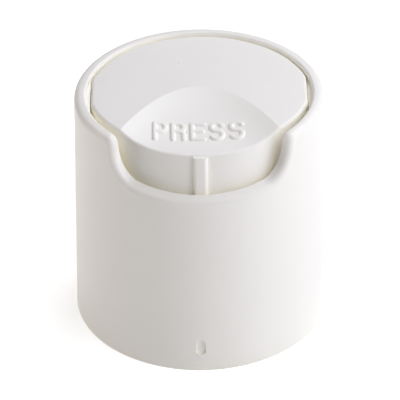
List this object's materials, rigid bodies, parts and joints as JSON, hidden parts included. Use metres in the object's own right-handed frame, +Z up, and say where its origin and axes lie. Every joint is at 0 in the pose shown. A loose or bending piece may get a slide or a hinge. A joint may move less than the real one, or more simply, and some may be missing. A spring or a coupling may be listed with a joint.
{
  "type": "disc top cap",
  "caption": "Round screw-on bottle cap with a dished press disc set in its top: pressing the near side tips the disc and lifts its spout.",
  "frame": {"origin": "centre of the cap's open base, on the plane that it stands on", "axes": "+Z up along the cap's axis, away from the bottle; -Y towards the finger notch and the pressed side of the disc; +Y towards the spout; X along the line that the disc tips about"},
  "size_m": [0.0284, 0.0284, 0.0273],
  "materials": {
    "body_plastic": "satin moulded polypropylene, warm white",
    "disc_plastic": "satin moulded polypropylene, warm white"
  },
  "bodies": {
    "body": {"cap_body": "body_plastic"},
    "disc": {"disc": "disc_plastic"}
  },
  "joints": [
    {"name": "disc_tilt", "type": "hinge", "parent": "body", "child": "disc", "pos_m": [0, 0, 0.02461], "axis": [1, 0, 0], "range_deg": [0, 22]}
  ]
}
